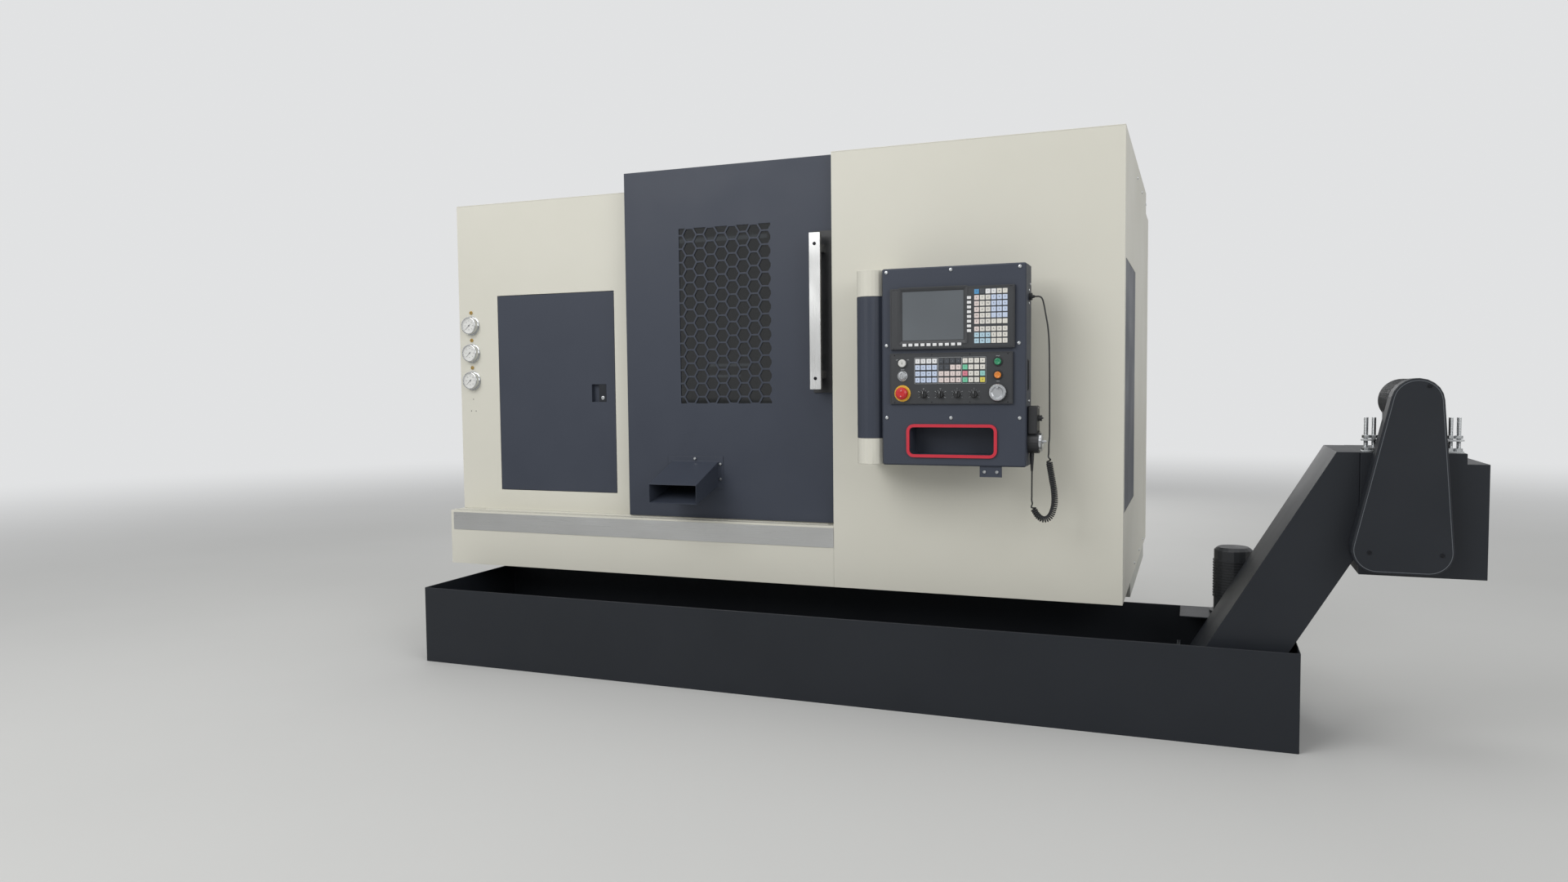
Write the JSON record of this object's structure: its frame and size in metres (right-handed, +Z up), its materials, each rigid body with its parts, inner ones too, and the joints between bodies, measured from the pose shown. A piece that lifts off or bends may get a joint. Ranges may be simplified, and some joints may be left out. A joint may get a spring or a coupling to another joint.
{
  "type": "cnc turning lathe",
  "caption": "Slant-bed turning lathe in a cream enclosure with a dark sliding door with a hexagon grille, a swivelling control station, a coolant tank and a chip conveyor.",
  "frame": {"origin": "middle of the base on the floor, measured without the cord", "axes": "+X along the spindle towards the chip conveyor's head, +Y from the operator's side to the back, +Z up"},
  "size_m": [3.72, 1.9076, 1.937],
  "materials": {
    "cream_enamel": "semi-gloss enamel with fine texture",
    "graphite_powder_coat": "satin powder coat",
    "black_paint": "satin paint",
    "stainless_sheet": "brushed lengthways",
    "silver_aluminium": "satin",
    "polished_chrome": "polished",
    "painted_casting": "painted casting",
    "ground_steel": "turned and ground",
    "motor_black": "satin paint",
    "clear_glazing": "clear",
    "display_glass": "glossy screen",
    "panel_film": "fine matt film",
    "red_trim": "glossy moulding",
    "signal_red": "glossy moulding",
    "signal_yellow": "glossy moulding",
    "signal_green": "glossy moulding",
    "signal_orange": "glossy moulding",
    "pale_plastic": "satin moulding",
    "moulded_black": "matt moulding"
  },
  "bodies": {
    "machine": {"left_panel": "cream_enamel", "right_panel": "cream_enamel", "lower_panel": "cream_enamel", "sill_strip": "stainless_sheet", "roof_panel": "cream_enamel", "rear_cover": "cream_enamel", "gauge_bottom": "polished_chrome", "gauge_middle": "polished_chrome", "gauge_top": "polished_chrome", "bed": "painted_casting", "headstock": "painted_casting", "spindle_motor": "motor_black", "hydraulic_unit": "painted_casting", "coolant_tank": "black_paint", "coolant_pump": "motor_black", "conveyor_trough": "black_paint", "conveyor_incline": "black_paint", "conveyor_head": "black_paint", "chain_guard": "black_paint", "conveyor_motor": "motor_black", "swivel_post": "cream_enamel"},
    "sliding_door": {"door_panel": "graphite_powder_coat", "door_glass": "clear_glazing", "door_handle": "silver_aluminium", "chip_chute": "graphite_powder_coat"},
    "left_cabinet_door": {"cabinet_door": "graphite_powder_coat"},
    "cabinet_door_latch": {"cabinet_latch": "black_paint"},
    "right_side_door": {"side_door": "graphite_powder_coat"},
    "spindle": {"chuck": "ground_steel"},
    "chuck_jaw_1": {"jaw_1": "ground_steel"},
    "chuck_jaw_2": {"jaw_2": "ground_steel"},
    "chuck_jaw_3": {"jaw_3": "ground_steel"},
    "long_screw": {"z_screw": "ground_steel"},
    "saddle": {"carriage": "painted_casting"},
    "turret_slide": {"cross_slide": "painted_casting"},
    "turret": {"turret_disc": "ground_steel"},
    "tailstock_casting": {"tailstock": "painted_casting"},
    "tailstock_quill": {"quill": "ground_steel"},
    "control_station": {"control_box": "graphite_powder_coat", "tray_trim": "red_trim", "nc_unit": "panel_film", "nc_screen": "display_glass", "operator_panel": "panel_film", "e_stop_ring": "signal_yellow", "pendant_body": "moulded_black", "cord_plug": "moulded_black", "cord": "moulded_black"},
    "emergency_stop": {"e_stop_button": "signal_red"},
    "cycle_start": {"start_button": "signal_green"},
    "feed_hold": {"hold_button": "signal_orange"},
    "key": {"key_switch": "pale_plastic"},
    "selector": {"mode_selector": "polished_chrome"},
    "dial_1": {"knob_1": "moulded_black"},
    "dial_2": {"knob_2": "moulded_black"},
    "dial_3": {"knob_3": "moulded_black"},
    "dial_4": {"knob_4": "moulded_black"},
    "hand_wheel": {"panel_handwheel": "silver_aluminium"},
    "pendant_selector": {"pendant_knob": "moulded_black"},
    "pendant_hand_wheel": {"pendant_wheel": "silver_aluminium"}
  },
  "joints": [
    {"name": "door_slide", "type": "slide", "parent": "machine", "child": "sliding_door", "axis": [1, 0, 0], "range_m": [-0.7, 0]},
    {"name": "cabinet_door_hinge", "type": "hinge", "parent": "machine", "child": "left_cabinet_door", "pos_m": [-1.657, -0.5825, 1], "axis": [0, 0, -1], "range_deg": [0, 100]},
    {"name": "latch_pivot", "type": "hinge", "parent": "left_cabinet_door", "child": "cabinet_door_latch", "pos_m": [-1.1453, -0.581, 1.073], "axis": [0, 0, 1], "range_deg": [0, 35], "stiffness_Nm_per_rad": 0.2},
    {"name": "side_door_hinge", "type": "hinge", "parent": "machine", "child": "right_side_door", "pos_m": [0.87, -0.0805, 1], "axis": [0, 0, 1], "range_deg": [0, 110]},
    {"name": "control_swing", "type": "hinge", "parent": "machine", "child": "control_station", "pos_m": [0.064, -0.8555, 1.1], "axis": [0, 0, -1], "range_deg": [0, 90]},
    {"name": "spindle_spin", "type": "hinge", "parent": "machine", "child": "spindle", "pos_m": [-1.01, -0.1765, 1.06], "axis": [1, 0, 0], "continuous": true},
    {"name": "jaw_1_slide", "type": "slide", "parent": "spindle", "child": "chuck_jaw_1", "axis": [0, -0.7071, 0.7071], "range_m": [0, 0.0044]},
    {"name": "jaw_2_slide", "type": "slide", "parent": "spindle", "child": "chuck_jaw_2", "axis": [0, -0.2588, -0.9659], "range_m": [0, 0.0044]},
    {"name": "jaw_3_slide", "type": "slide", "parent": "spindle", "child": "chuck_jaw_3", "axis": [0, 0.9659, 0.2588], "range_m": [0, 0.0044]},
    {"name": "carriage_slide", "type": "slide", "parent": "machine", "child": "saddle", "axis": [-1, 0, 0], "range_m": [-0.55, 0.04]},
    {"name": "screw_spin", "type": "hinge", "parent": "machine", "child": "long_screw", "pos_m": [-1.01, 0.09927, 0.91151], "axis": [1, 0, 0], "continuous": true},
    {"name": "cross_slide_travel", "type": "slide", "parent": "saddle", "child": "turret_slide", "axis": [0, -0.7071, -0.7071], "range_m": [-0.04, 0.2]},
    {"name": "turret_index", "type": "hinge", "parent": "turret_slide", "child": "turret", "pos_m": [-0.72, 0.07806, 1.31456], "axis": [1, 0, 0], "continuous": true},
    {"name": "tailstock_slide", "type": "slide", "parent": "machine", "child": "tailstock_casting", "axis": [-1, 0, 0], "range_m": [0, 0.6]},
    {"name": "quill_slide", "type": "slide", "parent": "tailstock_casting", "child": "tailstock_quill", "axis": [-1, 0, 0], "range_m": [0, 0.12]},
    {"name": "emergency_stop_press", "type": "slide", "parent": "control_station", "child": "emergency_stop", "axis": [0, 1, 0], "range_m": [0, 0.005]},
    {"name": "cycle_start_press", "type": "slide", "parent": "control_station", "child": "cycle_start", "axis": [0, 1, 0], "range_m": [0, 0.003], "stiffness_N_per_m": 300},
    {"name": "feed_hold_press", "type": "slide", "parent": "control_station", "child": "feed_hold", "axis": [0, 1, 0], "range_m": [0, 0.003], "stiffness_N_per_m": 300},
    {"name": "key_turn", "type": "hinge", "parent": "control_station", "child": "key", "pos_m": [0.1872, -0.9148, 1.1678], "axis": [0, 1, 0], "range_deg": [0, 90]},
    {"name": "selector_turn", "type": "hinge", "parent": "control_station", "child": "selector", "pos_m": [0.1872, -0.9148, 1.1255], "axis": [0, 1, 0], "range_deg": [-45, 45]},
    {"name": "dial_1_turn", "type": "hinge", "parent": "control_station", "child": "dial_1", "pos_m": [0.2582, -0.9148, 1.064], "axis": [0, 1, 0], "range_deg": [-120, 120]},
    {"name": "dial_2_turn", "type": "hinge", "parent": "control_station", "child": "dial_2", "pos_m": [0.314, -0.9148, 1.064], "axis": [0, 1, 0], "range_deg": [-120, 120]},
    {"name": "dial_3_turn", "type": "hinge", "parent": "control_station", "child": "dial_3", "pos_m": [0.3698, -0.9148, 1.064], "axis": [0, 1, 0], "range_deg": [-120, 120]},
    {"name": "dial_4_turn", "type": "hinge", "parent": "control_station", "child": "dial_4", "pos_m": [0.4256, -0.9148, 1.064], "axis": [0, 1, 0], "range_deg": [-120, 120]},
    {"name": "hand_wheel_turn", "type": "hinge", "parent": "control_station", "child": "hand_wheel", "pos_m": [0.5023, -0.9148, 1.0694], "axis": [0, 1, 0], "continuous": true},
    {"name": "pendant_selector_turn", "type": "hinge", "parent": "control_station", "child": "pendant_selector", "pos_m": [0.62, -0.8465, 0.985], "axis": [1, 0, 0], "range_deg": [-75, 75]},
    {"name": "pendant_wheel_turn", "type": "hinge", "parent": "control_station", "child": "pendant_hand_wheel", "pos_m": [0.63, -0.8465, 0.908], "axis": [1, 0, 0], "continuous": true}
  ],
  "couplings": [
    {"joint": "jaw_2_slide", "follows": "jaw_1_slide", "ratio": 1},
    {"joint": "jaw_3_slide", "follows": "jaw_1_slide", "ratio": 1},
    {"joint": "screw_spin", "follows": "carriage_slide", "rad_per_m": 628.32}
  ]
}
